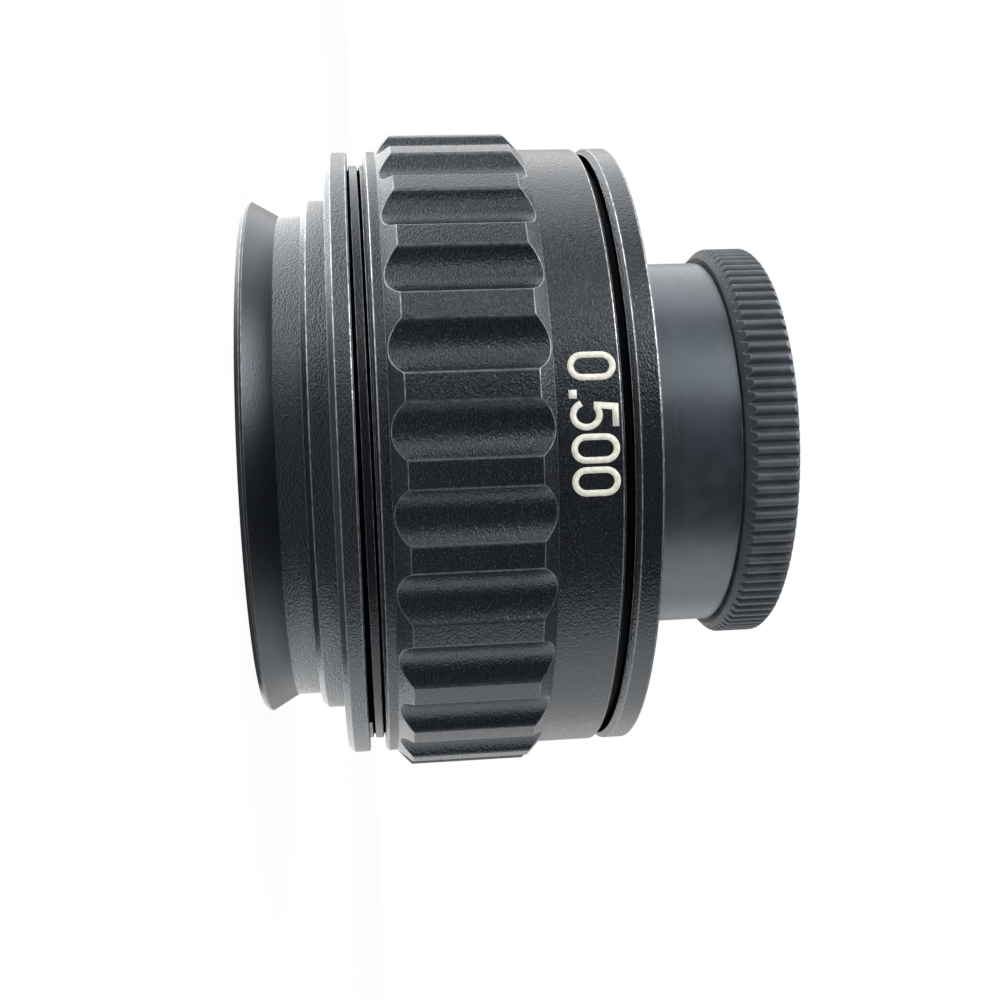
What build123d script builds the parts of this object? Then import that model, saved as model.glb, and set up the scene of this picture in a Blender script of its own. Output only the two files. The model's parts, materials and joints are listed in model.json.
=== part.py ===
from build123d import *
import math
import os

# Microscope camera adapter with a focusing sleeve, standing on its dovetail end.
# Millimetres. The optical axis is +Z and the dovetail's end face is z = 0.

# Clearances
slide_clearance = 0.05
thread_clearance = 0.05
seat_clearance = 0.02
cement_gap = 0.02
edge_break = 0.1

# Dovetail end and flange
spigot_r = 19.0
rim_chamfer = 0.3
rim_height = 0.47
flank_angle = 30.0
dovetail_depth = 1.08
neck_length = 1.8
neck_wall = 1.32
mouth_chamfer = 0.5
collar_length = 1.79
collar_chamfer = 0.4
flange_thick = 1.52
flange_chamfer = 0.4
shoulder_rise = 0.6

# Threaded hub, and the guide tube that slides in it
cell_gap = 0.4
cell_thread_step = 0.68
guide_wall = 1.75
hub_wall = 2.75
hub_thread_depth = 0.35
hub_relief = 3.75
travel_down = 1.0
travel_up = 2.0
closed_gap = 0.15
end_gap = 0.25

# Focusing sleeve
sleeve_wall = 0.88
sleeve_relief_depth = 0.1
sleeve_relief = 3.4
skirt_length = 0.85
skirt_chamfer = 0.2
foot_step = 0.12
grip_height = 1.12
grip_length = 10.15
mark_length = 4.19
mark_chamfer = 0.15
lip_thick = 0.89
flute_count = 28
flute_cutter_r = 2.25
flute_floor = 0.1
flute_start = -0.86

# Top ring, washers and the nut that keeps the sleeve on
ring_gap = 0.63
ring_thick = 1.78
ring_chamfer = 0.35
ring_groove_depth = 1.05
journal_step = 0.75
nut_thread_step = 0.3
nut_side_gap = 0.6
nut_thick = 1.4
nut_slot_width = 2.0
nut_slot_depth = 0.6
nut_slot_count = 4
washer_thick = 0.3
web_thick = 3.0

# Guide screws
screw_count = 3
screw_first_angle = 30.0
screw_thread_r = 1.5
screw_dog_r = 1.0
screw_seat = 3.4
screw_sunk = 0.45
screw_slot_width = 0.4
screw_slot_depth = 0.5
keyway_depth = 0.95
dog_tip_gap = 0.15

# Lens cell and its lenses, from the top down
stop_ledge = 1.0
stop_height = 9.2
stop_thick = 0.3
stop_overlap = 2.3
stop_gap = 0.3
cell_wall = 1.7
cell_lip = 1.2
cell_rim = 0.9
crown_top_curve = 60.0
cement_curve = 45.0
crown_edge = 0.8
flint_centre = 1.2
spacer_wall = 1.2
lens_air_gap = 0.4
meniscus_top_curve = 50.0
meniscus_low_curve = 80.0
meniscus_edge = 1.6
lens_ring_thick = 1.0
lens_ring_wall = 1.5
ring_slot_width = 1.2
ring_slot_depth = 0.5

# Camera end
nose_r = 12.7
nose_length = 2.6
nose_chamfer = 0.4
nose_wall = 1.9
barrel_shoulder = 1.13
barrel_length = 7.5
barrel_thread_step = 0.93
field_seat_height = 1.2
field_seat_thick = 0.8
field_seat_width = 0.72
field_bore_step = 0.48
field_curve = 40.0
field_edge = 1.5

# Dust cap
cap_rim_gap = 0.03
cap_wall = 2.1
cap_roof = 1.0
cap_head_room = 0.07
cap_rim_chamfer = 0.65
cap_top_chamfer = 0.3
ridge_count = 100
ridge_height = 0.4
ridge_start = 1.44
ridge_crest = 0.36
ridge_valley = 0.14

# Radii, from the dovetail's bore outwards
neck_r = spigot_r - dovetail_depth
bore_r = neck_r - neck_wall
cell_r = bore_r - cell_gap
cell_thread_r = cell_r + cell_thread_step
guide_bore_r = cell_thread_r + seat_clearance
guide_r = guide_bore_r + guide_wall
hub_bore_r = guide_r + slide_clearance
hub_r = hub_bore_r + hub_wall
hub_root_r = hub_r - hub_thread_depth
sleeve_bore_r = hub_r + thread_clearance
body_r = sleeve_bore_r + sleeve_wall
grip_foot_r = body_r + foot_step
grip_r = body_r + grip_height
journal_r = guide_r + journal_step
nut_thread_r = journal_r - nut_thread_step
nut_r = sleeve_bore_r - nut_side_gap
washer_r = body_r - ring_groove_depth

# Radii at the camera end
barrel_r = nose_r + barrel_shoulder
nose_bore_r = nose_r - nose_wall
barrel_thread_r = barrel_r - barrel_thread_step
field_bore_r = nose_bore_r - field_bore_step
field_seat_r = field_bore_r - field_seat_width
cap_bore_r = nose_r + slide_clearance
cap_r = cap_bore_r + cap_wall

# Radii in the lens cell
lens_bore_r = cell_r - cell_wall
lens_r = lens_bore_r - seat_clearance
cell_lip_r = lens_bore_r - cell_lip

# Heights of the base
neck_z = rim_height + dovetail_depth / math.tan(math.radians(flank_angle))
collar_z = neck_z + neck_length
flange_z = collar_z + collar_length
flange_top_z = flange_z + flange_thick
shoulder_z = flange_z + shoulder_rise
hub_thread_z = flange_top_z + hub_relief

# Heights of the sleeve and the top ring, with the sleeve part-way up
sleeve_z = flange_top_z + travel_down + closed_gap
grip_z = sleeve_z + skirt_length
grip_top_z = grip_z + grip_length
sleeve_top_z = grip_top_z + mark_length
lip_z = sleeve_top_z - lip_thick
ring_z = sleeve_top_z + ring_gap
ring_top_z = ring_z + ring_thick
web_z = ring_top_z - web_thick
low_washer_z = lip_z - slide_clearance - washer_thick
nut_z = low_washer_z - nut_thick
hub_top_z = nut_z - travel_down - end_gap
guide_bottom_z = shoulder_z + travel_down + end_gap
screw_z = hub_top_z - screw_seat

# Heights at the camera end
barrel_top_z = ring_top_z + barrel_length
nose_top_z = barrel_top_z + nose_length
field_seat_z = ring_top_z + field_seat_height
cap_rim_z = barrel_top_z + cap_rim_gap
cap_roof_z = nose_top_z + cap_head_room
cap_top_z = cap_roof_z + cap_roof


def bow(curve_r, r):
    """Height of a spherical surface of radius curve_r between its centre and radius r."""
    return curve_r - math.sqrt(curve_r**2 - r**2)


# Heights of the lenses in their cell. The crown lens bulges through the cell's lip, just short of the stop.
stop_top_z = guide_bottom_z + stop_height
stop_z = stop_top_z - stop_thick
cell_seat_z = stop_z - stop_gap - bow(crown_top_curve, cell_lip_r)
crown_z = cell_seat_z - bow(crown_top_curve, lens_r) + bow(crown_top_curve, cell_lip_r) - seat_clearance
crown_low_z = crown_z - crown_edge
flint_z = crown_low_z - cement_gap
flint_low_z = flint_z - bow(cement_curve, lens_r) - flint_centre
spacer_bore_r = lens_r - spacer_wall
spacer_low_z = flint_low_z - lens_air_gap - bow(meniscus_top_curve, spacer_bore_r)
meniscus_rise = bow(meniscus_top_curve, lens_r) - bow(meniscus_top_curve, spacer_bore_r)
meniscus_z = spacer_low_z - meniscus_rise - seat_clearance
meniscus_low_z = meniscus_z - meniscus_edge
lens_ring_z = meniscus_low_z - lens_ring_thick
cell_bottom_z = lens_ring_z - cell_rim

# The field lens hangs under its seat in the barrel
field_r = field_bore_r - seat_clearance
field_low_z = field_seat_z - field_edge
field_ring_r = field_r - lens_ring_wall
field_ring_top_z = field_low_z - bow(field_curve, field_r) + bow(field_curve, field_ring_r) - seat_clearance
field_ring_z = field_ring_top_z - lens_ring_thick


def turned(points):
    """Solid of revolution about Z, from (radius, height) points in order."""
    return revolve(Plane.XZ * make_face(Polyline(*points, close=True)), axis=Axis.Z)


def ring(inner_r, outer_r, low_z, high_z):
    """Plain flat ring."""
    return turned([(inner_r, low_z), (outer_r, low_z), (outer_r, high_z), (inner_r, high_z)])


def slots_across(count, width, low_z, high_z):
    """Radial bars, used to cut spanner slots into the face of a ring."""
    bar = Box(2 * body_r, width, high_z - low_z, align=(Align.CENTER, Align.CENTER, Align.MIN))
    bars = [Pos(0, 0, low_z) * Rot(0, 0, 180 * i / count) * bar for i in range(count)]
    return bars


def screw_angles():
    """Directions of the guide screws around the hub."""
    return [screw_first_angle + 360 / screw_count * i for i in range(screw_count)]


def radial_pin(radius, inner, outer, angle):
    """Cylinder that points outwards at the guide screws' height."""
    pin = Cylinder(radius, outer - inner, align=(Align.CENTER, Align.CENTER, Align.MIN))
    return Rot(0, 0, angle) * Pos(inner, 0, screw_z) * Rot(0, 90, 0) * pin


def dovetail_base():
    """Dovetail spigot, collar, flange and threaded hub, turned in one piece."""
    body = turned([
        (bore_r + mouth_chamfer, 0),
        (spigot_r - rim_chamfer, 0),
        (spigot_r, rim_chamfer),
        (spigot_r, rim_height),
        (neck_r, neck_z),
        (neck_r, collar_z),
        (spigot_r - collar_chamfer, collar_z),
        (spigot_r, collar_z + collar_chamfer),
        (spigot_r, flange_z),
        (body_r - flange_chamfer, flange_z),
        (body_r, flange_z + flange_chamfer),
        (body_r, flange_top_z - edge_break),
        (body_r - edge_break, flange_top_z),
        (hub_root_r, flange_top_z),
        (hub_root_r, hub_thread_z),
        (hub_r, hub_thread_z + hub_thread_depth),
        (hub_r, hub_top_z - hub_thread_depth),
        (hub_root_r, hub_top_z),
        (hub_bore_r, hub_top_z),
        (hub_bore_r, shoulder_z),
        (bore_r, shoulder_z),
        (bore_r, mouth_chamfer),
    ])
    hole_r = screw_thread_r + seat_clearance
    return body - [radial_pin(hole_r, bore_r, body_r, angle) for angle in screw_angles()]


def guide_screw(angle):
    """Slotted set screw with a dog point that runs in the guide tube's keyway."""
    keyway_floor = guide_r - keyway_depth
    outer = hub_r - screw_sunk
    body = radial_pin(screw_thread_r, hub_bore_r, outer, angle)
    dog = radial_pin(screw_dog_r, keyway_floor + dog_tip_gap, hub_bore_r, angle)
    slot = Box(screw_slot_depth, 2 * screw_thread_r, screw_slot_width)
    return body + dog - Rot(0, 0, angle) * Pos(outer - screw_slot_depth / 2, 0, screw_z) * slot


def slide_tube():
    """Top ring with the guide tube that hangs from it inside the hub."""
    stop_bore_r = guide_bore_r - stop_ledge
    barrel_hole_r = barrel_thread_r + seat_clearance
    body = turned([
        (guide_bore_r, guide_bottom_z),
        (guide_r - edge_break, guide_bottom_z),
        (guide_r, guide_bottom_z + edge_break),
        (guide_r, nut_z),
        (nut_thread_r, nut_z),
        (nut_thread_r, low_washer_z),
        (journal_r, low_washer_z),
        (journal_r, ring_z),
        (body_r - ring_chamfer, ring_z),
        (body_r, ring_z + ring_chamfer),
        (body_r, ring_top_z - edge_break),
        (body_r - edge_break, ring_top_z),
        (barrel_hole_r, ring_top_z),
        (barrel_hole_r, web_z),
        (stop_bore_r, web_z),
        (stop_bore_r, stop_top_z),
        (guide_bore_r, stop_top_z),
    ])
    # Each keyway is as long as the travel, with the screw's dog point part-way along it.
    dog = screw_dog_r + slide_clearance
    low = screw_z - travel_up - dog
    high = screw_z + travel_down + dog
    reach = 2 * keyway_depth
    keyway = Box(reach, 2 * dog, high - low, align=(Align.CENTER, Align.CENTER, Align.MIN))
    middle = guide_r - keyway_depth + reach / 2
    return body - [Rot(0, 0, angle) * Pos(middle, 0, low) * keyway for angle in screw_angles()]


def focus_sleeve():
    """Focusing sleeve: thin skirt, fluted grip and the plain band that carries the mark."""
    relief_r = sleeve_bore_r + sleeve_relief_depth
    lip_bore_r = journal_r + slide_clearance
    cone = grip_r - grip_foot_r
    body = turned([
        (relief_r, sleeve_z),
        (body_r - skirt_chamfer, sleeve_z),
        (body_r, sleeve_z + skirt_chamfer),
        (body_r, grip_z),
        (grip_foot_r, grip_z),
        (grip_r, grip_z + cone),
        (grip_r, grip_top_z - cone),
        (grip_foot_r, grip_top_z),
        (body_r, grip_top_z),
        (body_r, sleeve_top_z - mark_chamfer),
        (body_r - mark_chamfer, sleeve_top_z),
        (lip_bore_r, sleeve_top_z),
        (lip_bore_r, lip_z),
        (sleeve_bore_r, lip_z),
        (sleeve_bore_r, sleeve_z + sleeve_relief),
        (relief_r, sleeve_z + sleeve_relief - sleeve_relief_depth),
    ])
    cutter = Cylinder(flute_cutter_r, grip_length, align=(Align.CENTER, Align.CENTER, Align.MIN))
    centre_r = grip_foot_r + flute_floor + flute_cutter_r
    step = 360 / flute_count
    angles = [flute_start + step * i for i in range(flute_count)]
    return body - [Rot(0, 0, angle) * Pos(centre_r, 0, grip_z) * cutter for angle in angles]


def sleeve_retainer():
    """Nut on the guide tube that keeps the sleeve's lip against the top ring."""
    nut = ring(nut_thread_r + seat_clearance, nut_r, nut_z, low_washer_z)
    return nut - slots_across(nut_slot_count // 2, nut_slot_width, nut_z, nut_z + nut_slot_depth)


def thrust_washer(outer_r, low_z, high_z):
    """Thin bearing washer on the guide tube's journal."""
    return ring(journal_r + seat_clearance, outer_r, low_z, high_z)


def c_mount_barrel():
    """Camera barrel: bored tube with the shoulder and the threaded nose for the camera."""
    return turned([
        (field_bore_r, web_z),
        (barrel_thread_r, web_z),
        (barrel_thread_r, ring_top_z),
        (barrel_r, ring_top_z),
        (barrel_r, barrel_top_z - edge_break),
        (barrel_r - edge_break, barrel_top_z),
        (nose_r, barrel_top_z),
        (nose_r, nose_top_z - nose_chamfer),
        (nose_r - nose_chamfer, nose_top_z),
        (nose_bore_r, nose_top_z),
        (nose_bore_r, field_seat_z + field_seat_thick),
        (field_seat_r, field_seat_z + field_seat_thick),
        (field_seat_r, field_seat_z),
        (field_bore_r, field_seat_z),
    ])


def lens_cell():
    """Cell that screws into the guide tube from below and holds the main lenses."""
    return turned([
        (lens_bore_r, cell_bottom_z),
        (cell_r - edge_break, cell_bottom_z),
        (cell_r, cell_bottom_z + edge_break),
        (cell_r, guide_bottom_z),
        (cell_thread_r, guide_bottom_z),
        (cell_thread_r, stop_z),
        (cell_lip_r, stop_z),
        (cell_lip_r, cell_seat_z),
        (lens_bore_r, cell_seat_z),
    ])


def blank(radius, low_z, high_z):
    """Plain cylinder that a lens is ground from."""
    return Pos(0, 0, low_z) * Cylinder(radius, high_z - low_z, align=(Align.CENTER, Align.CENTER, Align.MIN))


def ball(curve_r, centre_z):
    """Sphere that gives a lens face its curve, with its poles turned away from the optical axis."""
    return Pos(0, 0, centre_z) * Rot(90, 0, 0) * Sphere(curve_r)


def crown_lens():
    """Upper half of the cemented doublet, convex on both sides."""
    apex_z = crown_z + bow(crown_top_curve, lens_r)
    low_apex_z = crown_low_z - bow(cement_curve, lens_r)
    glass = blank(lens_r, low_apex_z, apex_z) & ball(crown_top_curve, apex_z - crown_top_curve)
    return glass & ball(cement_curve, low_apex_z + cement_curve)


def flint_lens():
    """Lower half of the cemented doublet, hollow above and flat below."""
    hollow_z = flint_z - bow(cement_curve, lens_r)
    return blank(lens_r, flint_low_z, flint_z) - ball(cement_curve, hollow_z + cement_curve)


def meniscus_lens():
    """Single lens below the spacer, bowed upwards."""
    apex_z = meniscus_z + bow(meniscus_top_curve, lens_r)
    hollow_z = meniscus_low_z + bow(meniscus_low_curve, lens_r)
    glass = blank(lens_r, meniscus_low_z, apex_z) & ball(meniscus_top_curve, apex_z - meniscus_top_curve)
    return glass - ball(meniscus_low_curve, hollow_z - meniscus_low_curve)


def field_lens():
    """Small lens in the camera barrel, flat above and convex below."""
    apex_z = field_low_z - bow(field_curve, field_r)
    return blank(field_r, apex_z, field_seat_z) & ball(field_curve, apex_z + field_curve)


def slotted_ring(outer_r, low_z, high_z):
    """Threaded lens retaining ring with two spanner slots in its lower face."""
    plain = ring(outer_r - lens_ring_wall, outer_r, low_z, high_z)
    return plain - slots_across(1, ring_slot_width, low_z, low_z + ring_slot_depth)


def dust_cap():
    """Screw-on cap with straight ridges round its edge."""
    crest = math.degrees(ridge_crest / cap_r) / 2
    valley = math.degrees(ridge_valley / cap_r) / 2
    step = 360 / ridge_count
    root_r = cap_r - ridge_height
    outline = []
    for i in range(ridge_count):
        middle = ridge_start + step * i
        for radius, angle in (
            (cap_r, middle - crest),
            (cap_r, middle + crest),
            (root_r, middle + step / 2 - valley),
            (root_r, middle + step / 2 + valley),
        ):
            turn = math.radians(angle)
            outline.append((radius * math.cos(turn), radius * math.sin(turn)))
    ridged = extrude(make_face(Polyline(*outline, close=True)), amount=cap_top_z - cap_rim_z)
    form = turned([
        (cap_bore_r, cap_rim_z),
        (cap_r - cap_rim_chamfer, cap_rim_z),
        (cap_r, cap_rim_z + cap_rim_chamfer),
        (cap_r, cap_top_z - cap_top_chamfer),
        (cap_r - cap_top_chamfer, cap_top_z),
        (0, cap_top_z),
        (0, cap_roof_z),
        (cap_bore_r, cap_roof_z),
    ])
    return form & Pos(0, 0, cap_rim_z) * ridged


def build_parts():
    """Every piece by its name."""
    parts = {
        "dovetail_base": dovetail_base(),
        "slide_tube": slide_tube(),
        "focus_sleeve": focus_sleeve(),
        "sleeve_retainer": sleeve_retainer(),
        "upper_thrust_washer": thrust_washer(washer_r, sleeve_top_z + slide_clearance, ring_z),
        "lower_thrust_washer": thrust_washer(nut_r, low_washer_z, low_washer_z + washer_thick),
        "c_mount_barrel": c_mount_barrel(),
        "aperture_stop": ring(cell_lip_r - stop_overlap, cell_thread_r, stop_z, stop_top_z),
        "lens_cell": lens_cell(),
        "crown_lens": crown_lens(),
        "flint_lens": flint_lens(),
        "lens_spacer": ring(spacer_bore_r, lens_r, spacer_low_z, flint_low_z),
        "meniscus_lens": meniscus_lens(),
        "lens_retainer": slotted_ring(lens_r, lens_ring_z, meniscus_low_z),
        "field_lens": field_lens(),
        "field_lens_retainer": slotted_ring(field_r, field_ring_z, field_ring_top_z),
        "dust_cap": dust_cap(),
    }
    for number, angle in enumerate(screw_angles(), start=1):
        parts[f"guide_screw_{number}"] = guide_screw(angle)
    return parts


os.makedirs("parts", exist_ok=True)
for name, part in build_parts().items():
    export_step(part, f"parts/{name}.step")
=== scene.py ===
import json
import math

import bmesh
import bpy
from mathutils import Matrix, Vector

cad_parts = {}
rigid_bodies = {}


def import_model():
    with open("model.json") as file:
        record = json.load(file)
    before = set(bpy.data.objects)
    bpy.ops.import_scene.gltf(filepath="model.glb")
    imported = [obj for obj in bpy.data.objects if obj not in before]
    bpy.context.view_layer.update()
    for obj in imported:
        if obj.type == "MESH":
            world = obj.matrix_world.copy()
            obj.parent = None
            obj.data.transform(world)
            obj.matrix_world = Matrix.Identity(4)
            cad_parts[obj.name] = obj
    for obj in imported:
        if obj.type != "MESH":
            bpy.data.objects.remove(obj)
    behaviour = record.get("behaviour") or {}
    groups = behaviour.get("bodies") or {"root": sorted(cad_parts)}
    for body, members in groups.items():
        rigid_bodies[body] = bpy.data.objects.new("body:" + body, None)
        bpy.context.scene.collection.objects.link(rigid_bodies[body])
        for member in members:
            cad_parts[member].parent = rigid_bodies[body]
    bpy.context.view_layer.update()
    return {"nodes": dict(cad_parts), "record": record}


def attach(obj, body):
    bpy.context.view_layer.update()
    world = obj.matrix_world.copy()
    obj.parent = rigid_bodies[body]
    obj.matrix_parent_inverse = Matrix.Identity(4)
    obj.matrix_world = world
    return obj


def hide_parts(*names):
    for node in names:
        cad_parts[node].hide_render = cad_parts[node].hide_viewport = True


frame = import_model()

MM = 0.001
TAU = 2 * math.pi

# Rounding of edges, in millimetres, and the points that it is drawn with
EDGE = 0.09
FINE_EDGE = 0.05
ARC_STEPS = 3
SUPPORT = 0.05
SUPPORT_SHARE = 0.08
LONGEST_REACH = 0.4
TURNED_COLUMNS = 256

# Wear at the sides of a rounded edge, and the turn in radians that makes an edge wear in full
SIDE_WEAR = 0.3
SHARP_TURN = 0.7

# Radii and heights that several pieces share
BODY_R = 22.38
RING_FACE_R = 22.28
SPIGOT_R = 19.0
NECK_R = 17.92
FLANK_TOP = 2.34
FLANGE_TOP = 7.45
HUB_ROOT_R = 21.1
HUB_R = 21.45
SCREW_Z = 16.5
SCREW_DEGREES = (30, 150, 270)
RING_LOW, RING_TOP = 24.42, 26.20
BARREL_R = 13.83
SHOULDER_Z = 33.70
NOSE_ROOT_R = 12.2


# Shapes

def softened(corners, closed=True):
    """Rounds the corners (r, z, rounding) of an outline, and marks how worn each of its points is."""
    points = []
    count = len(corners)
    for i, (r, z, rounding) in enumerate(corners):
        here = Vector((r, z))
        if not closed and i in (0, count - 1):
            points.append((r, z, 0.0))
            continue
        before = Vector(corners[i - 1][:2]) - here
        after = Vector(corners[(i + 1) % count][:2]) - here
        if rounding == 0:
            points.append((r, z, 0.0))
            continue
        if before.length < 1e-6 or after.length < 1e-6:
            points.extend([(r, z, 0.0)] * (ARC_STEPS + 3))
            continue
        into, out = before.normalized(), after.normalized()
        turn = math.pi - into.angle(out, 0.0)
        reach = rounding * math.tan(turn / 2)
        reach = min(reach, LONGEST_REACH * before.length, LONGEST_REACH * after.length)
        outward = into.x * out.y - into.y * out.x < 0
        first, last = here + into * reach, here + out * reach
        lead = first + into * min(SUPPORT, SUPPORT_SHARE * before.length)
        trail = last + out * min(SUPPORT, SUPPORT_SHARE * after.length)
        points.append((lead.x, lead.y, 0.0))
        for step in range(ARC_STEPS + 1):
            s = step / ARC_STEPS
            spot = first * (1 - s) ** 2 + here * (2 * s * (1 - s)) + last * s**2
            share = SIDE_WEAR if step in (0, ARC_STEPS) else 1.0
            wear = share * min(1.0, turn / SHARP_TURN) if outward else 0.0
            points.append((spot.x, spot.y, wear))
        points.append((trail.x, trail.y, 0.0))
    return points


def to_object(name, verts, faces, wear=None):
    """Mesh object from points in millimetres, with a wear value for each point."""
    mesh = bpy.data.meshes.new(name)
    mesh.from_pydata([(x * MM, y * MM, z * MM) for x, y, z in verts], [], faces)
    if wear is not None:
        layer = mesh.attributes.new("wear", "FLOAT", "POINT")
        layer.data.foreach_set("value", wear)
    work = bmesh.new()
    work.from_mesh(mesh)
    bmesh.ops.remove_doubles(work, verts=work.verts, dist=1e-7)
    bmesh.ops.dissolve_degenerate(work, edges=work.edges, dist=1e-8)
    work.to_mesh(mesh)
    work.free()
    mesh.polygons.foreach_set("use_smooth", [True] * len(mesh.polygons))
    mesh.update()
    piece = bpy.data.objects.new(name, mesh)
    bpy.context.scene.collection.objects.link(piece)
    return piece


def spun(name, columns, closed=True):
    """Surface through columns of (r, z, wear) points, each at its own angle about Z."""
    rows = len(columns[0][1])
    verts, wear, faces = [], [], []
    for angle, points in columns:
        cos, sin = math.cos(angle), math.sin(angle)
        verts.extend((r * cos, r * sin, z) for r, z, _ in points)
        wear.extend(w for _, _, w in points)
    for i in range(len(columns)):
        here, there = i * rows, (i + 1) % len(columns) * rows
        for j in range(rows if closed else rows - 1):
            k = (j + 1) % rows
            faces.append((here + j, there + j, there + k, here + k))
    return to_object(name, verts, faces, wear)


def turned(name, corners):
    """Plain turned piece."""
    outline = softened(corners)
    return spun(name, [(TAU * i / TURNED_COLUMNS, outline) for i in range(TURNED_COLUMNS)])


def cut_radial_holes(piece, radius, inner, outer, height, angles):
    """Drills round holes towards the axis."""
    for angle in angles:
        work = bmesh.new()
        bmesh.ops.create_cone(work, cap_ends=True, segments=32, radius1=radius * MM, radius2=radius * MM,
                              depth=(outer - inner) * MM)
        turn = Matrix.Rotation(math.radians(angle), 4, "Z")
        place = Matrix.Translation(((inner + outer) / 2 * MM, 0, height * MM))
        bmesh.ops.transform(work, matrix=turn @ place @ Matrix.Rotation(math.pi / 2, 4, "Y"), verts=work.verts)
        mesh = bpy.data.meshes.new("drill")
        work.to_mesh(mesh)
        work.free()
        drill = bpy.data.objects.new("drill", mesh)
        bpy.context.scene.collection.objects.link(drill)
        change = piece.modifiers.new("hole", "BOOLEAN")
        change.operation = "DIFFERENCE"
        change.object = drill
        bpy.context.view_layer.update()
        graph = bpy.context.evaluated_depsgraph_get()
        result = bpy.data.meshes.new_from_object(piece.evaluated_get(graph))
        piece.modifiers.clear()
        piece.data = result
        bpy.data.objects.remove(drill)


RUN_OUT = 0.06
SUNK = 0.05


def helical_ridge(name, root_r, crest_r, pitch, foot, crest, low_z, first_angle, turns, steps=90):
    """Thread crest that winds up a cylinder, fading out over a share of a turn at both ends."""
    count = int(turns * steps)
    sunk = root_r - SUNK
    verts, wear, faces = [], [], []
    for i in range(count + 1):
        angle = first_angle + TAU * i / steps
        middle = low_z + pitch * i / steps
        fade = min(1.0, i / (steps * RUN_OUT), (count - i) / (steps * RUN_OUT))
        top = root_r + (crest_r - root_r) * math.sqrt(max(fade, 0.0))
        section = softened([
            (sunk, middle - foot / 2, 0),
            (root_r, middle - foot / 2, 0),
            (top, middle - crest / 2, 0.03),
            (top, middle + crest / 2, 0.05),
            (root_r, middle + foot / 2, 0),
            (sunk, middle + foot / 2, 0),
        ])
        verts.extend((r * math.cos(angle), r * math.sin(angle), z) for r, z, _ in section)
        wear.extend(w for _, _, w in section)
        rows = len(section)
    for i in range(count):
        here, there = i * rows, (i + 1) * rows
        for j in range(rows):
            k = (j + 1) % rows
            faces.append((here + j, there + j, there + k, here + k))
    faces.append(tuple(range(rows - 1, -1, -1)))
    faces.append(tuple(count * rows + j for j in range(rows)))
    return to_object(name, verts, faces, wear)


# Base

base = turned("turned_base", [
    (17.1, 0, EDGE), (18.7, 0, FINE_EDGE), (SPIGOT_R, 0.3, FINE_EDGE), (SPIGOT_R, 0.47, FINE_EDGE),
    (NECK_R, FLANK_TOP, EDGE), (NECK_R, 4.14, FINE_EDGE),
    (18.6, 4.14, EDGE), (SPIGOT_R, 4.54, EDGE), (SPIGOT_R, 5.93, FINE_EDGE),
    (21.98, 5.93, EDGE), (BODY_R, 6.33, EDGE), (BODY_R, 7.35, EDGE), (RING_FACE_R, FLANGE_TOP, EDGE),
    (HUB_ROOT_R, FLANGE_TOP, FINE_EDGE), (HUB_ROOT_R, 11.2, 0), (HUB_R, 11.55, FINE_EDGE),
    (HUB_R, 19.55, FINE_EDGE), (HUB_ROOT_R, 19.9, FINE_EDGE), (18.7, 19.9, 0), (18.7, 6.53, 0),
    (16.6, 6.53, 0), (16.6, 0.5, FINE_EDGE),
])
SCREW_HOLE_R = 1.52
cut_radial_holes(base, SCREW_HOLE_R, 17.6, 22.0, SCREW_Z, SCREW_DEGREES)

FOCUS_LEAD = 0.75
hub_thread = helical_ridge("hub_thread", HUB_ROOT_R, 21.43, FOCUS_LEAD, 0.68, 0.54,
                           7.40, math.radians(-385), 4.9)

# Top ring and guide tube

KEY_ANGLES = [math.radians(a) for a in SCREW_DEGREES]
KEY_HALF = 1.05
KEY_FLOOR_R = 17.7
TRAVEL_UP, TRAVEL_DOWN = 2.0, 1.0
KEY_LOW = SCREW_Z - TRAVEL_UP - KEY_HALF
KEY_HIGH = SCREW_Z + TRAVEL_DOWN + KEY_HALF
GUIDE_R = 18.65


def tube_columns():
    """Angles of the guide tube's columns, with the radius of the keyways' floor at each."""
    half = math.asin(KEY_HALF / GUIDE_R)
    plain = [TAU * i / TURNED_COLUMNS for i in range(TURNED_COLUMNS)]
    columns = []
    for angle in plain:
        gaps = [abs((angle - key + math.pi) % TAU - math.pi) for key in KEY_ANGLES]
        if min(gaps) > half + 0.002:
            columns.append((angle, GUIDE_R))
    for key in KEY_ANGLES:
        for share in (-1, -0.5, 0, 0.5, 1):
            turn = share * half
            columns.append(((key + turn) % TAU, KEY_FLOOR_R / math.cos(turn)))
        columns.append(((key - half - 0.0005) % TAU, GUIDE_R))
        columns.append(((key + half + 0.0005) % TAU, GUIDE_R))
    return sorted(columns)


def tube_outline(key_r):
    """Section of the top ring and its guide tube, where the keyway's height has a radius."""
    return softened([
        (16.9, 7.78, 0), (18.55, 7.78, 0), (GUIDE_R, 7.88, 0),
        (GUIDE_R, KEY_LOW, 0), (key_r, KEY_LOW, 0), (key_r, KEY_HIGH, 0), (GUIDE_R, KEY_HIGH, 0),
        (GUIDE_R, 21.15, 0), (19.1, 21.15, 0), (19.1, 22.55, 0), (19.4, 22.55, 0), (19.4, RING_LOW, 0),
        (22.03, RING_LOW, EDGE), (BODY_R, 24.77, EDGE), (BODY_R, 26.10, EDGE), (RING_FACE_R, RING_TOP, EDGE),
        (12.92, RING_TOP, 0), (12.92, 23.20, 0), (15.9, 23.20, 0), (15.9, 16.98, 0), (16.9, 16.98, 0),
    ])


top_ring = spun("top_ring", [(angle, tube_outline(key_r)) for angle, key_r in tube_columns()])

# Camera barrel

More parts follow.
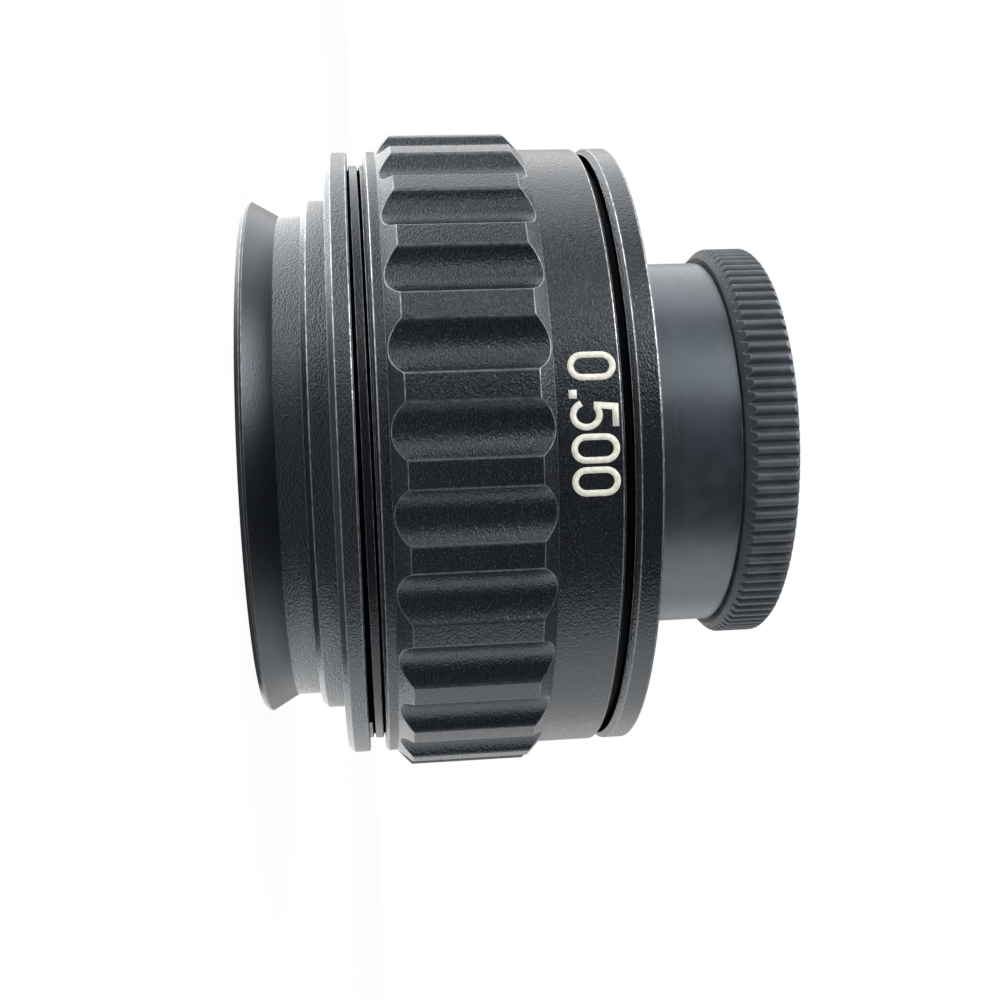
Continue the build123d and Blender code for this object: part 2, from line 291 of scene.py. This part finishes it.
barrel = turned("camera_barrel", [
    (10.32, 23.20, 0), (12.9, 23.20, 0), (12.9, RING_TOP, 0),
    (BARREL_R, RING_TOP, FINE_EDGE), (BARREL_R, 33.60, EDGE),
    (13.73, SHOULDER_Z, EDGE), (NOSE_ROOT_R, SHOULDER_Z, 0), (NOSE_ROOT_R, 35.85, FINE_EDGE),
    (11.75, 36.30, FINE_EDGE), (10.8, 36.30, FINE_EDGE), (10.8, 28.20, 0),
    (9.6, 28.20, FINE_EDGE), (9.6, 27.40, FINE_EDGE), (10.32, 27.40, 0),
])
NOSE_PITCH = 0.794
nose_thread = helical_ridge("nose_thread", NOSE_ROOT_R, 12.69, NOSE_PITCH, 0.76, 0.12, 33.75,
                            math.radians(40), 2.75, steps=72)

# Fluted sleeve

GRIP_FOOT_R, GRIP_R = 22.5, 23.5
GRIP_LOW, GRIP_HIGH = 9.45, 19.60
FLUTES = 28
GRIP_WEAR = 0.55
LAND_WEAR, LAND_SIDE_WEAR = 0.12, 0.02
LAND_REACH = 0.11
WALL_SHARES = (0, 0.15, 0.3, 0.45, 0.6, 0.75, 0.88)
FLUTE_START = math.radians(-0.86)
CUTTER_R, CUTTER_CENTRE = 2.25, 24.85
FLUTE_STEP = TAU / FLUTES


def flute_wall(turn):
    """Radius of the flute's wall at an angle from its middle."""
    across = CUTTER_CENTRE * math.sin(turn)
    return CUTTER_CENTRE * math.cos(turn) - math.sqrt(max(CUTTER_R**2 - across**2, 0.0))


def flute_columns():
    """Angle from a flute's middle, radius and wear, from the middle to the middle of the land beside it."""
    low, high = 0.0, math.radians(6)
    for _ in range(50):
        middle = (low + high) / 2
        low, high = (middle, high) if flute_wall(middle) < GRIP_R else (low, middle)
    edge = low
    reach = LAND_REACH / GRIP_R
    columns = [(edge * share, flute_wall(edge * share), 0.0) for share in WALL_SHARES]
    first = (edge - reach, flute_wall(edge - reach))
    last = (edge + reach, GRIP_R)
    for step in range(ARC_STEPS + 1):
        s = step / ARC_STEPS
        turn = first[0] * (1 - s) ** 2 + edge * 2 * s * (1 - s) + last[0] * s * s
        radius = first[1] * (1 - s) ** 2 + GRIP_R * 2 * s * (1 - s) + last[1] * s * s
        columns.append((turn, radius, LAND_SIDE_WEAR if step in (0, ARC_STEPS) else LAND_WEAR))
    columns.append((edge + reach + 0.0015, GRIP_R, 0.0))
    columns.append((FLUTE_STEP / 2, GRIP_R, 0.0))
    return columns


def sleeve_outline(grip_r, wear):
    """Section of the sleeve where its grip has a radius, with at least some wear along the grip."""
    rise = grip_r - GRIP_FOOT_R
    outline = softened([
        (21.6, 8.60, 0), (22.18, 8.60, FINE_EDGE), (BODY_R, 8.80, EDGE),
        (BODY_R, GRIP_LOW, 0.03), (GRIP_FOOT_R, GRIP_LOW, EDGE),
        (grip_r, GRIP_LOW + rise, EDGE), (grip_r, GRIP_HIGH - rise, EDGE),
        (GRIP_FOOT_R, GRIP_HIGH, EDGE), (BODY_R, GRIP_HIGH, 0.03),
        (BODY_R, 23.64, EDGE), (22.23, 23.79, EDGE), (19.45, 23.79, 0),
        (19.45, 22.90, 0), (21.5, 22.90, 0), (21.5, 12.0, 0), (21.6, 11.9, 0),
    ])
    dressed = []
    for r, z, edge_wear in outline:
        if GRIP_LOW - 0.05 < z < GRIP_HIGH + 0.05 and r > GRIP_FOOT_R - 0.2:
            edge_wear *= GRIP_WEAR
            if r > grip_r - 1e-4:
                edge_wear = max(edge_wear, wear)
        dressed.append((r, z, edge_wear))
    return dressed


def sleeve_columns():
    """Sections of the sleeve at the angles that draw its flutes."""
    half = flute_columns()
    full = [(-turn, r, w) for turn, r, w in half[:0:-1]] + half[:-1]
    columns = []
    for i in range(FLUTES):
        middle = FLUTE_START + FLUTE_STEP * i
        columns.extend((middle + turn, sleeve_outline(r, w)) for turn, r, w in full)
    return columns


sleeve = spun("fluted_sleeve", sleeve_columns())

# Dust cap

RIDGES = 100
RIDGE_START = math.radians(1.44)
RIDGE_STEP = TAU / RIDGES
CAP_R, CAP_ROOT_R, CAP_BORE_R = 14.85, 14.45, 12.75
CAP_LOW, CAP_ROOF, CAP_TOP = 33.73, 36.37, 37.37
CAP_CONE, CAP_RIM = 0.65, 0.3
CREST_HALF = 0.36 / CAP_R / 2
VALLEY_HALF = 0.14 / CAP_R / 2
RIDGE_ROUNDING = 0.33


def ridge_columns():
    """Angle from a ridge's middle and radius, over one ridge and the valley after it."""
    corners = [
        (-CREST_HALF, CAP_R), (CREST_HALF, CAP_R),
        (RIDGE_STEP / 2 - VALLEY_HALF, CAP_ROOT_R), (RIDGE_STEP / 2 + VALLEY_HALF, CAP_ROOT_R),
    ]
    columns = []
    for i, (turn, radius) in enumerate(corners):
        before = corners[i - 1] if i else (corners[-1][0] - RIDGE_STEP, corners[-1][1])
        after = corners[i + 1] if i < 3 else (corners[0][0] + RIDGE_STEP, corners[0][1])
        first = [here + (there - here) * RIDGE_ROUNDING for here, there in zip((turn, radius), before)]
        last = [here + (there - here) * RIDGE_ROUNDING for here, there in zip((turn, radius), after)]
        for s in (0, 0.5, 1):
            columns.append(tuple(
                a * (1 - s) ** 2 + b * 2 * s * (1 - s) + c * s * s
                for a, b, c in zip(first, (turn, radius), last)))
    return columns


def cap_outline(radius):
    """Section of the cap where its outside has a radius, from its roof's middle to its top's."""
    rise = radius - (CAP_R - CAP_CONE)
    top = radius - (CAP_R - CAP_RIM)
    return softened([
        (0, CAP_ROOF, 0), (CAP_BORE_R, CAP_ROOF, 0), (CAP_BORE_R, CAP_LOW, FINE_EDGE),
        (CAP_R - CAP_CONE, CAP_LOW, EDGE), (radius, CAP_LOW + rise, 0.12),
        (radius, CAP_TOP - 0.02 - max(top, 0.0), 0.16), (min(radius, CAP_R - CAP_RIM), CAP_TOP, 0.1),
        (12.6, CAP_TOP, 0.1), (12.3, 37.25, 0.1), (0, 37.25, 0),
    ], closed=False)


def cap_columns():
    """Sections of the cap at the angles that draw its ridges."""
    pattern = ridge_columns()
    columns = []
    for i in range(RIDGES):
        middle = RIDGE_START + RIDGE_STEP * i
        columns.extend((middle + turn, cap_outline(radius)) for turn, radius in pattern)
    return columns


cap = spun("ridged_cap", cap_columns(), closed=False)

# Numerals on the mark band

MARK_R = BODY_R + 0.012
MARK_FOOT_R = BODY_R - 0.02
MARK_Z = 20.62
MARK_START = math.radians(-102.2)
NUMERAL_PLACES = (0.0, 2.27, 3.08, 5.1, 7.12)
STROKE = 0.39
POINT_STROKE = 0.5
TALL = 2.62
WIDE = 1.42
END_SHARE = 0.18


def arc(cx, cy, rx, ry, first, last, steps):
    """Points along a part of an ellipse, between two angles in degrees."""
    return [(cx + rx * math.cos(math.radians(first + (last - first) * i / steps)),
             cy + ry * math.sin(math.radians(first + (last - first) * i / steps))) for i in range(steps + 1)]


def numeral_zero():
    """Path of a zero with straight sides, and that it is closed."""
    w, h, c = WIDE / 2, TALL / 2, WIDE / 2
    return (arc(c, h + h - w, w, w, 0, 180, 14) + arc(c, w, w, w, 180, 360, 14)), True


def numeral_five():
    """Path of a five, and that it is open."""
    w, h = WIDE, TALL
    return ([(w * 0.95, h), (w * 0.14, h), (w * 0.04, h * 0.5)]
            + arc(w * 0.47, h * 0.31, w * 0.53, h * 0.31, 130, -155, 24)), False


def numeral_point():
    """Path of a decimal point: a short stroke."""
    return [(0.0, 0.04), (0.36, 0.04)], False


def stroke_sides(path, closed, width):
    """Points along the left and the right side of a stroke that follows a path."""
    half = width / 2
    count = len(path)
    left, right = [], []
    for i, (x, y) in enumerate(path):
        a = path[i - 1] if closed or i else path[i]
        b = path[(i + 1) % count] if closed or i < count - 1 else path[i]
        run = Vector((b[0] - a[0], b[1] - a[1])).normalized()
        into = Vector((path[i][0] - a[0], path[i][1] - a[1]))
        sharpness = run.angle(into, 0.0) if into.length > 0 else 0.0
        side = Vector((-run.y, run.x)) * (half / max(math.cos(sharpness), 0.6))
        left.append((x + side.x, y + side.y))
        right.append((x - side.x, y - side.y))
    return left, right


def build_numerals():
    """Raised paint of a plain number, bent round the mark band."""
    verts, faces = [], []
    shapes = [numeral_zero(), numeral_point(), numeral_five(), numeral_zero(), numeral_zero()]
    for offset, (path, closed) in zip(NUMERAL_PLACES, shapes):
        width = POINT_STROKE if len(path) == 2 else STROKE
        if not closed:
            for end, nxt in ((0, 1), (-1, -2)):
                run = (Vector(path[end]) - Vector(path[nxt])).normalized() * width * END_SHARE
                path = list(path)
                path[end] = tuple(Vector(path[end]) + run)
        left, right = stroke_sides(path, closed, width)
        start = len(verts)
        for a, b in zip(left, right):
            for (u, v), radius in ((a, MARK_R), (b, MARK_R), (a, MARK_FOOT_R), (b, MARK_FOOT_R)):
                angle = MARK_START + (offset + u) / BODY_R
                verts.append((radius * math.cos(angle), radius * math.sin(angle), MARK_Z + v))
        count = len(path)
        for i in range(count if closed else count - 1):
            a, b = start + 4 * i, start + 4 * ((i + 1) % count)
            faces += [(a + 1, b + 1, b, a), (a, b, b + 2, a + 2), (b + 1, a + 1, a + 3, b + 3),
                      (a + 2, b + 2, b + 3, a + 3)]
        if not closed:
            a, b = start, start + 4 * (count - 1)
            faces += [(a + 1, a, a + 2, a + 3), (b, b + 1, b + 3, b + 2)]
    return to_object("mark_numerals", verts, faces)


numerals = build_numerals()

# Materials


def grey(r, g, b):
    """Opaque colour."""
    return (r, g, b, 1.0)


WHITE = grey(1, 1, 1)
COOL = grey(0.82, 0.92, 1.0)
# Flat black of the painted shade in recesses
SHADE_BLACK = grey(0.002, 0.002, 0.0025)
BLACK = grey(0.005, 0.0062, 0.0088)
FAINT_GREY = grey(0.018, 0.02, 0.024)
DARK_GREY = grey(0.036, 0.039, 0.044)
BARE_METAL = grey(0.62, 0.64, 0.67)
MACHINED_ROUGHNESS = 0.36


class Nodes:
    """Short way to lay out shader nodes in an emptied tree."""

    def __init__(self, tree):
        self.tree = tree
        tree.nodes.clear()

    def plug(self, socket, value):
        if isinstance(value, bpy.types.NodeSocket):
            self.tree.links.new(value, socket)
        else:
            socket.default_value = value

    def add(self, kind, inputs=(), **settings):
        node = self.tree.nodes.new(kind)
        for key, value in settings.items():
            setattr(node, key, value)
        for key, value in dict(inputs).items():
            self.plug(node.inputs[key], value)
        return node

    def math(self, operation, a, b):
        return self.add("ShaderNodeMath", {0: a, 1: b}, operation=operation).outputs[0]

    def noise(self, vector, size, detail=2.0, rough=0.5):
        """Noise with cells of a size in millimetres."""
        return self.add("ShaderNodeTexNoise", {
            "Vector": vector, "Scale": 1 / (size * MM), "Detail": detail, "Roughness": rough}).outputs["Fac"]

    def span(self, value, low, high, new_low=0.0, new_high=1.0):
        """Value scaled from one range to another, held at its ends."""
        return self.add("ShaderNodeMapRange", {
            "Value": value, "From Min": low, "From Max": high, "To Min": new_low,
            "To Max": new_high}, interpolation_type="SMOOTHSTEP").outputs["Result"]

    def blend(self, share, a, b):
        """Colour between two colours."""
        node = self.add("ShaderNodeMix", data_type="RGBA")
        self.plug(node.inputs["Factor"], share)
        self.plug(node.inputs[6], a)
        self.plug(node.inputs[7], b)
        return node.outputs[2]

    def place(self, stretch=(1, 1, 1)):
        """Place in the part, with each axis stretched."""
        here = self.add("ShaderNodeTexCoord").outputs["Object"]
        return self.add("ShaderNodeMapping", {"Vector": here, "Scale": stretch}).outputs["Vector"]

    def bump(self, height, depth, strength=1.0, below=None):
        """Normal of a relief with a depth in millimetres, on top of another relief if one is given."""
        node = self.add("ShaderNodeBump", {"Height": height, "Distance": depth * MM, "Strength": strength})
        if below is not None:
            self.plug(node.inputs["Normal"], below)
        return node.outputs["Normal"]


class Finish(Nodes):
    """Material with one main shader."""

    def __init__(self, name):
        self.mat = bpy.data.materials.new(name)
        self.mat.use_nodes = True
        super().__init__(self.mat.node_tree)
        self.shader = self.add("ShaderNodeBsdfPrincipled")
        self.out = self.add("ShaderNodeOutputMaterial")
        self.show(self.shader.outputs["BSDF"])

    def show(self, surface):
        self.plug(self.out.inputs["Surface"], surface)

    def set(self, **sockets):
        for key, value in sockets.items():
            self.plug(self.shader.inputs[key.replace("_", " ")], value)

    def mix(self, share, first, second):
        """One shader mixed into another by a share."""
        return self.add("ShaderNodeMixShader", {0: share, 1: first, 2: second}).outputs[0]

    def wear(self, vector, size, low, high):
        """How far a worn edge shows at a point: broken up by noise, and stronger towards -X, the lit side, as
        a painted highlight.
        """
        edge = self.add("ShaderNodeAttribute", attribute_name="wear").outputs["Fac"]
        x = self.add("ShaderNodeSeparateXYZ", {"Vector": self.place()}).outputs["X"]
        # Painted highlight: edge wear shows brighter towards -X, the side the lamps light
        lit_side = self.span(x, 3 * MM, -7 * MM, 0.3, 1.0)
        edge = self.math("MULTIPLY", edge, lit_side)
        return self.math("MULTIPLY", edge, self.span(self.noise(vector, size, 3), low, high, 0.45, 1.0))

    def paint_recess_shade(self, share):
        """Mixes in a matt black that shows no reflection: painted shade, as deep in a groove."""
        shade_bsdf = self.add("ShaderNodeBsdfDiffuse", {"Color": SHADE_BLACK})
        self.show(self.mix(share, self.shader.outputs["BSDF"], shade_bsdf.outputs["BSDF"]))

    def inside(self, low, high, radius):
        """1 within a recess: between two heights and closer to the axis than a radius, in millimetres."""
        here = self.add("ShaderNodeSeparateXYZ", {"Vector": self.place()})
        flat = self.add("ShaderNodeCombineXYZ", {"X": here.outputs["X"], "Y": here.outputs["Y"]}).outputs[0]
        away = self.add("ShaderNodeVectorMath", {0: flat}, operation="LENGTH").outputs["Value"]
        near = self.span(away, (radius + 0.05) * MM, (radius - 0.05) * MM)
        above = self.math("GREATER_THAN", here.outputs["Z"], low * MM)
        below = self.math("LESS_THAN", here.outputs["Z"], high * MM)
        return self.math("MULTIPLY", near, self.math("MULTIPLY", above, below))


def blasted(name, grain_size, stretch, light, relief, ior, recess=None, smooth_below=0.0):
    """Black anodised, bead blasted aluminium: grainy, with bare metal along its edges, shown stronger towards
    -X as a painted highlight.

    A recess (low, high, radius) in it is painted black as shade, and below a height it is machined smooth.
    """
    net = Finish(name)
    grain_place = net.place(stretch)
    even = net.place()
    grain = net.noise(grain_place, grain_size, 1.5, 0.5)
    fine = net.noise(even, 0.08, 0.0)
    cloud = net.noise(even, 2.5, 2.0)
    flecks = net.span(net.noise(grain_place, grain_size * 0.6, 1.0), 0.6, 0.7)
    colour = net.blend(flecks, BLACK, light)
    colour = net.blend(net.span(cloud, 0.4, 0.75, 0.0, 0.05), colour, light)
    worn_and_lit = net.wear(even, 0.5, 0.35, 0.6)
    colour = net.blend(worn_and_lit, colour, BARE_METAL)
    # Painted shade: a recess is mixed with flat black
    if recess is not None:
        net.paint_recess_shade(net.inside(*recess))
    net.set(Base_Color=colour, Metallic=net.math("MULTIPLY", worn_and_lit, 0.6), IOR=ior, Specular_Tint=COOL)
    height = net.add("ShaderNodeSeparateXYZ", {"Vector": even}).outputs["Z"]
    machined = net.math("LESS_THAN", height, smooth_below * MM)
    shine = net.span(grain, 0.3, 0.7, 0.27, 0.18)
    net.set(Roughness=net.math("MAXIMUM", shine, net.math("MULTIPLY", machined, MACHINED_ROUGHNESS)))
    rough = net.bump(grain, relief, net.span(machined, 0.0, 1.0, 1.0, 0.2))
    net.set(Normal=net.bump(fine, relief * 0.05, 1.0, rough))
    return net.mat


def satin(name, dark, light, relief=0.004, gloss=(0.3, 0.38)):
    """Smooth black anodised aluminium with faint turning lines."""
    net = Finish(name)
    even = net.place()
    lines = net.noise(net.place((0.15, 0.15, 12.0)), 0.8, 2.0)
    cloud = net.noise(even, 1.4, 2.0)
    worn_and_lit = net.wear(even, 0.5, 0.35, 0.6)
    colour = net.blend(net.span(cloud, 0.3, 0.75), dark, light)
    colour = net.blend(worn_and_lit, colour, grey(0.4, 0.41, 0.43))
    net.set(Base_Color=colour, Metallic=net.math("MULTIPLY", worn_and_lit, 0.5), IOR=1.75, Specular_Tint=COOL)
    net.set(Roughness=net.span(lines, 0.3, 0.7, gloss[0], gloss[1]))
    net.set(Normal=net.bump(lines, relief, 1.0, net.bump(net.noise(even, 0.09, 1.0), relief * 0.5)))
    return net.mat


def plastic(name, dark, light, relief=0.008, gloss=(0.45, 0.6), shine=0.5):
    """Matt moulded plastic with a fine spark-eroded texture."""
    net = Finish(name)
    even = net.place()
    fine = net.noise(even, 0.12, 2.0)
    cloud = net.noise(even, 1.8, 3.0)
    worn_and_lit = net.wear(even, 0.6, 0.3, 0.6)
    colour = net.blend(net.span(cloud, 0.35, 0.7), dark, light)
    colour = net.blend(worn_and_lit, colour, grey(0.13, 0.14, 0.155))
    net.set(Base_Color=colour, IOR=1.52, Roughness=net.span(fine, 0.3, 0.7, gloss[0], gloss[1]))
    net.set(Specular_IOR_Level=shine, Normal=net.bump(fine, relief))
    return net.mat


def steel(name):
    """Black oxide steel with turning marks."""
    net = Finish(name)
    marks = net.noise(net.place((1, 1, 4)), 0.15, 3.0)
    net.set(Base_Color=net.blend(marks, grey(0.035, 0.035, 0.04), grey(0.12, 0.12, 0.13)), Metallic=1.0)
    net.set(Roughness=net.span(marks, 0.3, 0.7, 0.3, 0.5), Normal=net.bump(marks, 0.005))
    return net.mat


def glass(name):
    """Clear glass with a thin coating that tints its reflections, and a breath of dust."""
    net = Finish(name)
    even = net.place()
    dust = net.span(net.noise(even, 0.4, 5.0, 0.7), 0.62, 0.8)
    net.set(Base_Color=net.blend(dust, grey(0.96, 0.985, 1.0), grey(0.8, 0.82, 0.84)))
    net.set(Transmission_Weight=1.0, IOR=1.52, Roughness=net.span(dust, 0.0, 1.0, 0.0, 0.12))
    net.set(Thin_Film_Thickness=280.0, Thin_Film_IOR=1.38)
    return net.mat


def paint(name):
    """Off-white engraving paint, a little uneven."""
    net = Finish(name)
    even = net.place()
    patchy = net.noise(even, 0.25, 4.0, 0.6)
    net.set(Base_Color=net.blend(net.span(patchy, 0.35, 0.75), grey(0.70, 0.69, 0.60), grey(0.52, 0.51, 0.45)))
    net.set(Roughness=net.span(patchy, 0.3, 0.7, 0.5, 0.7), Normal=net.bump(patchy, 0.01))
    return net.mat


# The recesses given are painted black as shade: the root of the hub's thread, and the inside of the top ring
# below the ring
leather_like = blasted("blasted_turned", 0.14, (0.9, 0.9, 1.1), FAINT_GREY, 0.055, 1.7,
                       recess=(FLANGE_TOP + 0.01, 12.0, HUB_ROOT_R + 0.15), smooth_below=FLANK_TOP + 0.02)
ring_like = blasted("blasted_ring", 0.14, (0.8, 0.8, 1.2), FAINT_GREY, 0.05, 1.55,
                    recess=(0.0, RING_LOW + 0.08, 22.0))
# Painted shade: darker flecks and a duller reflection than the base's finish, for the thread deep in its
# groove
shaded_thread = blasted("blasted_thread_painted_shade", 0.17, (1, 1, 1), BLACK, 0.03, 1.4)
sparkling = blasted("blasted_fluted", 0.14, (0.8, 0.8, 1.2), DARK_GREY, 0.05, 1.52)
smooth = satin("smooth_anodised", grey(0.018, 0.024, 0.032), grey(0.028, 0.036, 0.046))
inner = satin("inner_anodised", grey(0.012, 0.012, 0.014), grey(0.022, 0.022, 0.025), 0.006, (0.5, 0.65))
moulded = plastic("moulded_cap", grey(0.036, 0.044, 0.054), grey(0.055, 0.065, 0.078))
acetal = plastic("acetal", grey(0.0025, 0.0025, 0.003), grey(0.004, 0.004, 0.005), shine=0.05)
oxide = steel("black_oxide")
lens_glass = glass("coated_glass")
mark_paint = paint("mark_paint")


def dress(piece, material, body):
    """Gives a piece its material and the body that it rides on."""
    piece.data.materials.clear()
    piece.data.materials.append(material)
    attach(piece, body)


dress(base, leather_like, "base")
dress(hub_thread, shaded_thread, "base")
dress(top_ring, ring_like, "camera_tube")
dress(sleeve, sparkling, "sleeve")
dress(barrel, smooth, "camera_tube")
dress(nose_thread, smooth, "camera_tube")
dress(cap, moulded, "cap")
dress(numerals, mark_paint, "sleeve")
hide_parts("dovetail_base")
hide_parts("slide_tube")
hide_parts("focus_sleeve")
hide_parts("c_mount_barrel")
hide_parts("dust_cap")

SLOT_MATERIALS = {
    "inner_anodised": inner,
    "washer_plastic": acetal,
    "screw_steel": oxide,
    "coated_glass": lens_glass,
}
for row in frame["record"]["subparts"]:
    if row["material_slot"] not in SLOT_MATERIALS:
        continue
    node = frame["nodes"][row["node"]]
    for holder in [node, *node.children_recursive]:
        if holder.type == "MESH":
            holder.data.materials.clear()
            holder.data.materials.append(SLOT_MATERIALS[row["material_slot"]])

# Floor, light and camera

# Degrees from the camera's side towards -X: the middle of the tent's dark side and half its width
DARK_MIDDLE, DARK_HALF = -11.0, 51.0
HARD_EDGE, SOFT_EDGE = 6.0, 28.0
TENT_LEVEL, DARK_LEVEL, ROOM_LEVEL = 0.6, 0.05, 0.45
FLOOR_REACH = 3.0
FLOOR_DROP = 0.03 * MM


def tent_level(nodes, way):
    """Strength of the light tent in a direction from the part: low on the photographer's side."""
    level = nodes.add("ShaderNodeVectorMath", {0: way, 1: (1, 1, 0)}, operation="MULTIPLY").outputs[0]
    level = nodes.add("ShaderNodeVectorMath", {0: level}, operation="NORMALIZE").outputs[0]
    turn = math.radians(DARK_MIDDLE)
    front = (-math.sin(turn), -math.cos(turn), 0)
    facing = nodes.add("ShaderNodeVectorMath", {0: level, 1: front}, operation="DOT_PRODUCT").outputs["Value"]
    across = nodes.add("ShaderNodeSeparateXYZ", {"Vector": level}).outputs["X"]
    inner_edge = nodes.add("ShaderNodeMapRange", {
        "Value": across, "From Min": 0.3, "From Max": -0.3,
        "To Min": math.cos(math.radians(DARK_HALF - HARD_EDGE)),
        "To Max": math.cos(math.radians(DARK_HALF - SOFT_EDGE))}).outputs["Result"]
    outer_edge = math.cos(math.radians(DARK_HALF + HARD_EDGE))
    return nodes.span(facing, outer_edge, inner_edge, TENT_LEVEL, DARK_LEVEL)


def floor_reflection_glow(net):
    """Strength of the glow the floor shows only in reflections, a painted reflection: the tent's, brighter
    towards -X and close to the part.
    """
    spot = net.add("ShaderNodeTexCoord").outputs["Object"]
    way = net.add("ShaderNodeVectorMath", {0: spot}, operation="NORMALIZE").outputs[0]
    way = net.add("ShaderNodeSeparateXYZ", {"Vector": way}).outputs
    away = net.add("ShaderNodeVectorMath", {0: spot}, operation="LENGTH").outputs["Value"]
    sheen = net.math("MULTIPLY", tent_level(net, spot), net.span(way["X"], 0.6, -0.5, 2.9, 4.6))
    sheen = net.math("MULTIPLY", sheen, net.span(way["Y"], 0.2, 0.8, 1.0, 0.6))
    return net.math("MULTIPLY", sheen, net.span(away, 0.05, 0.16, 1.5, 0.9))


def stage_floor():
    """Pale paper, nearly white to the camera, that the part is lit by and throws its shadow on; to glossy rays
    it glows as a painted reflection, brighter towards -X and near the part.
    """
    mesh = bpy.data.meshes.new("floor")
    reach = FLOOR_REACH
    mesh.from_pydata([(-reach, -reach, 0), (reach, -reach, 0), (reach, reach, 0), (-reach, reach, 0)], [],
                     [(0, 1, 2, 3)])
    floor = bpy.data.objects.new("floor", mesh)
    floor.location.z = -FLOOR_DROP
    bpy.context.scene.collection.objects.link(floor)
    net = Finish("floor_paper")
    patch = net.noise(net.place(), 40.0, 2.0)
    net.set(Base_Color=net.blend(patch, grey(0.82, 0.82, 0.82), grey(0.86, 0.86, 0.86)), Roughness=0.9)
    path = net.add("ShaderNodeLightPath")
    seen = net.math("MAXIMUM", path.outputs["Is Camera Ray"], path.outputs["Is Transmission Ray"])
    glow = net.add("ShaderNodeEmission", {"Color": WHITE, "Strength": 1.0})
    plain = net.mix(net.math("MULTIPLY", seen, 0.96), net.shader.outputs["BSDF"], glow.outputs[0])
    # Painted reflection: glossy rays see the floor glow, brighter towards -X and near the part
    tent = net.add("ShaderNodeEmission", {"Color": WHITE, "Strength": floor_reflection_glow(net)})
    net.show(net.mix(net.math("MULTIPLY", path.outputs["Is Glossy Ray"], 0.8), plain, tent.outputs[0]))
    mesh.materials.append(net.mat)


def studio_world():
    """White room that is darker where the camera stands, as the photographer's side of a light tent is."""
    world = bpy.data.worlds.new("studio")
    bpy.context.scene.world = world
    world.use_nodes = True
    nodes = Nodes(world.node_tree)
    way = nodes.add("ShaderNodeTexCoord").outputs["Generated"]
    height = nodes.add("ShaderNodeSeparateXYZ", {"Vector": way}).outputs["Z"]
    overhead = nodes.span(height, 0.5, 0.9, 1.0, 0.4)
    tent = nodes.math("MULTIPLY", tent_level(nodes, way), overhead)
    path = nodes.add("ShaderNodeLightPath")
    clear = nodes.math("MAXIMUM", path.outputs["Is Camera Ray"], path.outputs["Is Transmission Ray"])
    other = nodes.add("ShaderNodeMix", {"Factor": path.outputs["Is Glossy Ray"], 2: ROOM_LEVEL, 3: tent},
                      data_type="FLOAT").outputs[0]
    level = nodes.add("ShaderNodeMix", {"Factor": clear, 2: other, 3: 1.0}, data_type="FLOAT").outputs[0]
    light = nodes.add("ShaderNodeBackground", {"Color": WHITE, "Strength": level})
    nodes.add("ShaderNodeOutputWorld", {"Surface": light.outputs[0]})


LIGHT_AIM = Vector((0, 0, 0.018))


def softbox(name, azimuth, elevation, distance, width, tall, level):
    """Area lamp that faces the part, at degrees from the camera's side towards -X and above the floor."""
    turn, lift = math.radians(azimuth), math.radians(elevation)
    away = distance * math.cos(lift)
    place = LIGHT_AIM + Vector((-math.sin(turn) * away, -math.cos(turn) * away, distance * math.sin(lift)))
    light = bpy.data.lights.new(name, "AREA")
    light.shape = "RECTANGLE"
    light.size, light.size_y = width, tall
    light.energy = level * 4 * width * tall
    lamp = bpy.data.objects.new(name, light)
    lamp.location = place
    lamp.rotation_euler = (LIGHT_AIM - place).to_track_quat("-Z", "Y").to_euler()
    lamp.visible_camera = False
    bpy.context.scene.collection.objects.link(lamp)


# The camera that was fitted to the photograph, in millimetres, and the picture's right in the part's axes
CAMERA_SPOT = Vector((3.94, -101.79, 8.05)) * MM
CAMERA_AIM = Vector((3.94, 0.0, 18.165)) * MM
CAMERA_RIGHT = Vector((0.04120, -0.09882, 0.99425))
LENS, SENSOR = 47.548, 36.0


def photo_camera():
    """Camera at the photograph's viewing angle, on its side, as the part lies in the photograph."""
    data = bpy.data.cameras.new("camera")
    data.lens = LENS
    data.sensor_width = SENSOR
    data.clip_start = 0.001
    data.clip_end = 20.0
    camera = bpy.data.objects.new("camera", data)
    ahead = (CAMERA_AIM - CAMERA_SPOT).normalized()
    up = CAMERA_RIGHT.cross(ahead).normalized()
    right = ahead.cross(up).normalized()
    turn = Matrix((right, up, -ahead)).transposed()
    camera.matrix_world = Matrix.Translation(CAMERA_SPOT) @ turn.to_4x4()
    bpy.context.scene.collection.objects.link(camera)
    bpy.context.scene.camera = camera


stage_floor()
studio_world()
softbox("key", 40.0, 31.0, 0.30, 0.17, 0.20, 1.8)
softbox("high_key", 48.0, 52.0, 0.30, 0.18, 0.18, 5.0)
softbox("left_high", 130.0, 64.0, 0.34, 0.24, 0.20, 2.6)
softbox("fill", -85.0, 12.0, 0.32, 0.20, 0.26, 0.9)
softbox("left_back", 115.0, 12.0, 0.34, 0.40, 0.26, 1.3)
softbox("right_back", -125.0, 12.0, 0.34, 0.30, 0.26, 0.5)
photo_camera()
bpy.context.scene.view_settings.view_transform = "Standard"
